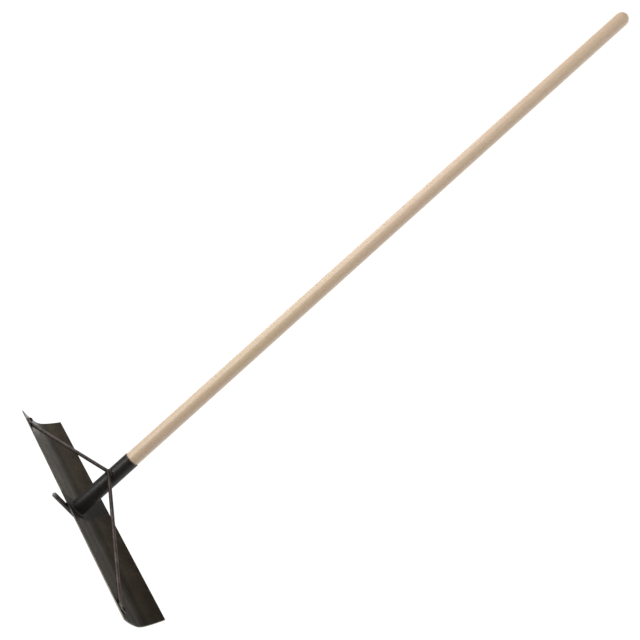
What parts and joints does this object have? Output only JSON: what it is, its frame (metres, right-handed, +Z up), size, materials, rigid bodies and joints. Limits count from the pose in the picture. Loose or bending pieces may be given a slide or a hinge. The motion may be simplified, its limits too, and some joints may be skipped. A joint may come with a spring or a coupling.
{
  "type": "concrete placer",
  "caption": "Long wooden-handled concrete placer: a wide curved steel blade on a tube socket with a V-shaped brace rod and an upright mesh hook.",
  "frame": {"origin": "middle of the blade's lower edge, on the ground", "axes": "+Y along the tool towards the handle's free end, +Z up, +X along the blade to the left of a person who holds the handle; the tool lies on the blade's lower edge and the handle's free end"},
  "size_m": [0.4952, 1.3921, 0.1333],
  "materials": {
    "blade_steel": "mill-finish sheet steel gone dark grey-brown, worn lighter along the cut edges",
    "black_enamel": "gloss black paint on a steel tube, slightly lumpy",
    "weld_bead": "rippled weld bead under black paint",
    "hardwood": "pale straight-grained hardwood with a thin clear lacquer",
    "rod_steel": "dark brown-grey rod with a dull sheen",
    "hook_steel": "black-brown rod, worn brighter at the tip",
    "rivet_steel": "black steel rivet, its head rubbed a little brighter",
    "screw_steel": "blackened round-headed wood screw"
  },
  "bodies": {
    "root": {"blade": "blade_steel", "socket_tube": "black_enamel", "socket_weld": "weld_bead", "wood_handle": "hardwood", "handle_screw": "screw_steel", "brace_rod": "rod_steel", "brace_weld_front": "weld_bead", "brace_weld_rear": "weld_bead", "brace_rivet_left": "rivet_steel", "brace_rivet_right": "rivet_steel", "hook_rod": "hook_steel", "hook_weld_left": "weld_bead", "hook_weld_right": "weld_bead"}
  },
  "joints": []
}
